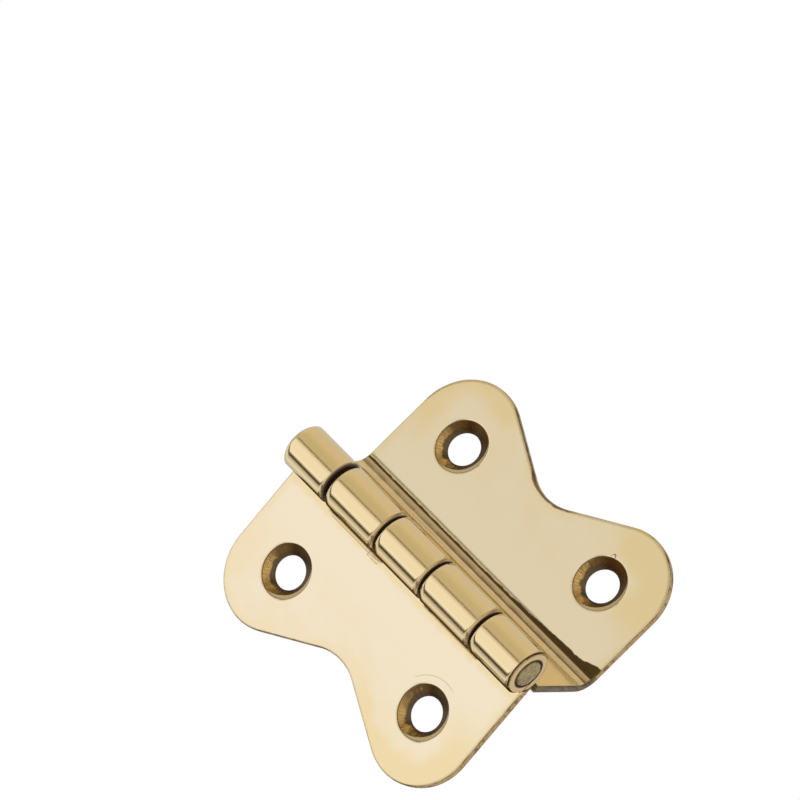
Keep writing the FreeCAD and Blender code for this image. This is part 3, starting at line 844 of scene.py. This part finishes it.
def cut_colour(brass):
    """Brown streaks across the cut, and their pattern."""
    streaks = brass.noise(brass.place, 1.0, 4.0, STREAK_STRETCH)
    return brass.mix(brass.ease(streaks, -0.04, 0.14) * STREAK_SHARE, CUT_AND_SHADED_BRASS, BROWN_GRIME_AND_SHADE), streaks


def web_cut(brass, colour, streaks):
    """The colour of a cut with the web's rougher and darker one added, and the mask of the web's. Its dark brown
    is partly painted shade, on the faces that turn towards the pin beside the barrel.
    """
    aside = brass.x + streaks * WEB_CUT_RAGGEDNESS
    web = brass.fade(aside - bend_line, *WEB_CUT) * brass.off_barrel
    rough = brass.mix(brass.ease(streaks, -0.15, 0.1), DULL_AND_SHADED_BRASS, BROWN_GRIME_AND_SHADE)
    rough = brass.mix(WEB_CUT_DEPTH, rough, WEB_SHADE_AND_GRIME)
    # Painted shade: the web's faces that turn towards the pin beside the barrel are darkened.
    towards_pin = brass.normal[0] * (pin_axis.x - brass.x) + brass.normal[1] * (pin_axis.y - brass.y)
    facing_pin = brass.ease(towards_pin / brass.from_pin, *FACING_PIN) * brass.near_barrel(*WEB_CUT_REACH)
    ends = brass.ease(abs(brass.normal[2]), 0.35, 0.6)
    return brass.mix(web, colour, rough), brass.largest(ends, facing_pin) * web


print("the web's cut is rough from", -WEB_CUT[0], "mm past the bend")

# %% [markdown]
# ## Inside corner
# The cranked leaf has a layer that the flat leaf lacks. Two brown lines with a dull strip between them
# run down its inside corner: a painted reflection of the room in the curved bend, with some polish
# residue. The line by the face widens towards the lower end of the hinge, and a third, thinner line runs
# on the web. The web keeps a golden, greasy film that is thickest low down, and that also lightens the
# web where it mirrors the corner's painted dark. A skin over it would be another shape, so the film is
# mixed in as brass that is only partly metal.

# %% Marks of the corner
WEB_LINE = 1.88
FIRST_LINE = 1.16
SECOND_LINE = 0.26
SECOND_LINE_END = (0.48, 0.6)
STRIP_START = (0.3, 0.5)
STRIP_END = (1.1, 1.25)
WIDER_FROM = (2.0, 17.0)
WIDER = 0.54
WIDEST_FROM = (16.0, 18.6)
WIDEST = 0.7
WEB_START = (1.1, 1.5)
FILM_LOW = (4.0, 14.0)


def corner_reflection_lines(brass, depth, wobble):
    """Mask of the three brown lines, a painted reflection. Depth is how far a point is past the bend, towards the
    barrel.
    """
    web_line = brass.line(depth - WEB_LINE + wobble * 0.1, 0.04, 0.12)
    first_line = brass.line(depth - FIRST_LINE + wobble * 0.08, 0.05, 0.14)
    widened = brass.ease(brass.below, *WIDER_FROM) * WIDER + brass.ease(brass.below, *WIDEST_FROM) * WIDEST
    face_side = SECOND_LINE - widened
    spread = brass.ease(depth + wobble * 0.35, face_side - 0.05, face_side + 0.06)
    second_line = spread * brass.fade(depth, *SECOND_LINE_END)
    web_share = 0.4 - brass.ease(brass.below, 6.0, 16.0) * 0.25
    first_share = 0.4 + brass.ease(brass.below, -14.0, 2.0) * 0.35
    return brass.largest(first_line * first_share, second_line, web_line * web_share)


def inside_corner(brass, colour):
    """The corner's painted reflection and film laid over a colour, with how dull they leave it and how much film,
    partly painted light, lies on it.
    """
    depth = bend_line - brass.x
    front = brass.ease(brass.normal[1] * -1, 0.1, 0.3)
    # Painted reflection: brown lines down the bend, with some polish residue.
    lines = corner_reflection_lines(brass, depth, brass.noise(brass.place, 1.0)) * front
    # Painted reflection: a duller strip between the lines.
    strip = brass.ease(depth, *STRIP_START) * brass.fade(depth, *STRIP_END) * front
    low_down = brass.ease(brass.below, *FILM_LOW) * 0.4
    web = brass.ease(depth, *WEB_START) * (0.6 + low_down) * front
    # The golden film also lightens the web where it mirrors the corner's painted dark.
    film = web * brass.off_barrel
    colour = brass.mix(film, colour, WEB_BRASS)
    colour = brass.mix(strip * 0.55, colour, CUT_AND_SHADED_BRASS)
    colour = brass.mix(lines, colour, DARK_GRIME_AND_SHADE)
    return colour, brass.largest(strip * 0.8, lines, web * 0.35), film * (0.2 + low_down)


print("brown lines", SECOND_LINE, FIRST_LINE, "and", WEB_LINE, "mm past the bend")

# %% [markdown]
# ## The two leaves
# Both leaves share the layers above, and the cranked leaf adds its corner, its web and the painted
# reflection along its waist. Each layer covers those before it, so the buffed faces come first, then the
# cuts and the cones, and the dirt and painted shade last. The CAD has rounded and bevelled the rims, and a
# Bevel node softens the light on all of them a little more, which takes no triangles.

# %% A leaf's brass
SHABBY = (1.0, 1.8)
SHABBY_RAGGEDNESS = 1.2
RIM_ROUNDING = 0.35
CUT_DULLNESS = 0.6
GAP_SHADE_SHARE = 0.9
LIP_HIGHLIGHT_SHARE = 0.75
WEB_CUT_DIRT_AND_SHADE = 0.85


def buffed(brass, outward, cranked):
    """The colour of the buffed sheet: cream on the faces, partly a painted sheen, and yellower by the borders and
    the barrel.
    """
    shabby = brass.from_pin + brass.noise(brass.place, 0.7) * SHABBY_RAGGEDNESS
    by_barrel = brass.fade(shabby, barrel_radius + SHABBY[0], barrel_radius + SHABBY[1])
    yellow = brass.largest(yellowed(brass, outward, cranked), by_barrel)
    return brass.mix(yellow, CREAM_SHEEN_BRASS, YELLOW_BRASS)


def rounded(brass):
    """The way the surface looks, with every rim rounded and the knuckle ends as they wore."""
    rims = brass.node("ShaderNodeBevel", {"samples": 4}, {"Radius": RIM_ROUNDING * MM})
    heights = {"Strength": 1.0, "Distance": MM, "Height": knuckle_rounding(brass), "Normal": rims}
    return brass.node("ShaderNodeBump", {}, heights)


def leaf_brass(name, screws, outward, cranked):
    """Buffed sheet brass with the marks of drill, saw and press, and with painted shade, highlight and reflection.
    """
    brass = Brass(name, screws)
    faint_marks, dark_marks_and_shade = scratched(brass, cranked)
    colour = brass.mix(faint_marks, buffed(brass, outward, cranked), DULL_AND_SHADED_BRASS)
    colour = brass.mix(lower_end_shade(brass), colour, DULL_AND_SHADED_BRASS)
    cut, rim = sheared(brass)
    bare_cut, streaks = cut_colour(brass)
    shaded_gap = gap_shade(brass)
    cone, highlight_lip, bare_cone = drilled(brass)
    dull = [cone, shaded_gap]
    dirt_and_painted_light = [shaded_gap * GAP_SHADE_SHARE, highlight_lip * LIP_HIGHLIGHT_SHARE]
    if cranked:
        colour, corner_dull, film_and_painted_light = inside_corner(brass, colour)
        bare_cut, web_end = web_cut(brass, bare_cut, streaks)
        cut = brass.largest(cut, web_end)
        rim = brass.largest(rim, dark_waist_reflection(brass, outward))
        dull.append(corner_dull)
        dirt_and_painted_light += [web_end * WEB_CUT_DIRT_AND_SHADE, film_and_painted_light]
    colour = brass.mix(cut, colour, bare_cut)
    colour = brass.mix(rim, colour, BROWN_GRIME_AND_SHADE)
    colour = brass.mix(cone, colour, bare_cone)
    colour = brass.mix(dark_marks_and_shade, colour, BROWN_GRIME_AND_SHADE)
    colour = barrel_dirt_and_shade(brass, colour, shaded_gap)
    dull.append(cut * CUT_DULLNESS)
    roughness = BUFFED_ROUGHNESS + brass.largest(*dull) * (CUT_ROUGHNESS - BUFFED_ROUGHNESS)
    return brass.finish(colour, brass.largest(*dirt_and_painted_light), roughness, rounded(brass))


def dress(node, material):
    """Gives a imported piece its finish."""
    for slot in frame["nodes"][node].material_slots:
        slot.material = material
    print(node, "is finished in", material.name)


dress("cranked_leaf", leaf_brass("cranked_leaf_brass", cranked_screws, 1, True))
dress("flat_leaf", leaf_brass("flat_leaf_brass", flat_screws, -1, False))

# %% [markdown]
# ## The pin
# The pin was cut from drawn rod and its ends were dressed with a file, so they are grey-green, pitted
# and duller than the sheet round them. What shows between the knuckles is painted dark brown as shade,
# like the gaps. It needs few of the layers, so it has a short brass of its own.

# %% The pin's brass
PIN_BRASS = paint(162, 144, 102)
PIN_ROUGHNESS = 0.25
PIT_SHARE = 0.7
PIT_DEPTH = 0.03
PIT_STRENGTH = 0.5
PIN_END = (0.2, 0.05)
PIN_RIM = (0.22, 0.08)
PIN_RIM_SHARE = 0.8


def pin_brass(name):
    """Drawn rod with filed ends."""
    brass = Brass(name, cranked_screws)
    pits = brass.ease(brass.noise(brass.place, 2.0, 5.0), -0.1, 0.2)
    colour = brass.mix(pits * PIT_SHARE, PIN_BRASS, BROWN_GRIME_AND_SHADE)
    # Painted shade: the pin between its outer ends is dark and hardly metal, as in the gaps.
    inside = brass.fade(abs(brass.z), half_length - PIN_END[0], half_length - PIN_END[1])
    ragged = brass.from_pin + brass.noise(brass.place, 2.0) * 0.2
    rim = brass.ease(ragged, pin_radius - PIN_RIM[0], pin_radius - PIN_RIM[1])
    colour = brass.mix(rim * PIN_RIM_SHARE, colour, DARK_GRIME_AND_SHADE)
    colour = brass.mix(inside, colour, GAP_SHADE_AND_GRIME)
    pitted = brass.noise(brass.place, 2.2, 4.0)
    heights = {"Strength": PIT_STRENGTH, "Distance": PIT_DEPTH * MM, "Height": pitted}
    return brass.finish(colour, inside * GAP_SHADE_SHARE, PIN_ROUGHNESS, brass.node("ShaderNodeBump", {}, heights))


dress("hinge_pin", pin_brass("pin_brass"))
